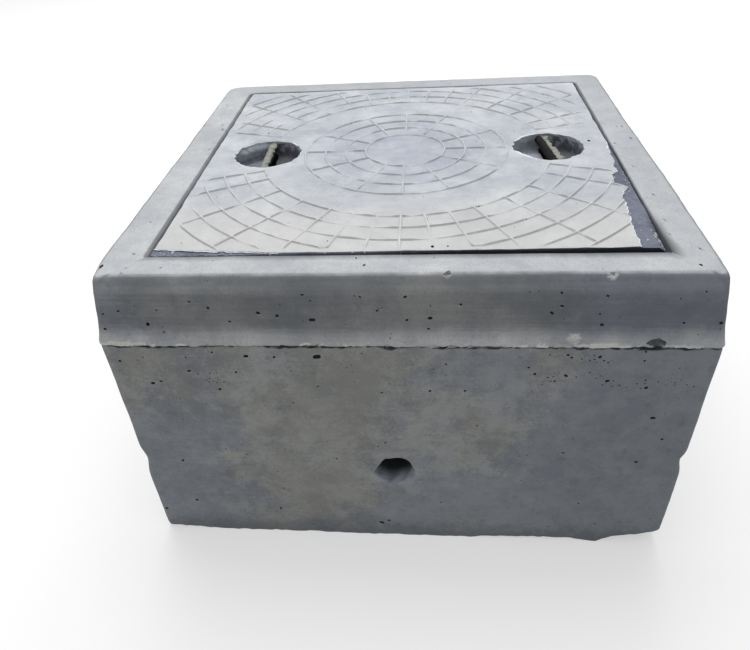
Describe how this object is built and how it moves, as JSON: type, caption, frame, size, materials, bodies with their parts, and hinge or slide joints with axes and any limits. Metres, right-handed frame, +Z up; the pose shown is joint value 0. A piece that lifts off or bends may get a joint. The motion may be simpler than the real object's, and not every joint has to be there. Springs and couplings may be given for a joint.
{
  "type": "earthing pit chamber with lid",
  "caption": "Square precast concrete chamber, open below, with a leaning collar, a cable hole, and a ribbed concrete lid that lies in a rebate and has bars in round pockets for lifting.",
  "frame": {"origin": "middle of the chamber's outline, on the ground it stands on", "axes": "+Z up, +X to the right seen from the side with the cable hole, +Y away from that side"},
  "size_m": [0.489, 0.489, 0.301],
  "materials": {
    "chamber_concrete": "cast grey concrete with air holes, pale on top",
    "lid_concrete": "cast concrete with a pale cement skin",
    "coated_steel": "plain round steel bar with dried cement on it"
  },
  "bodies": {
    "root": {"chamber": "chamber_concrete", "lid": "lid_concrete", "lifting_bar_left": "coated_steel", "lifting_bar_right": "coated_steel"}
  },
  "joints": []
}
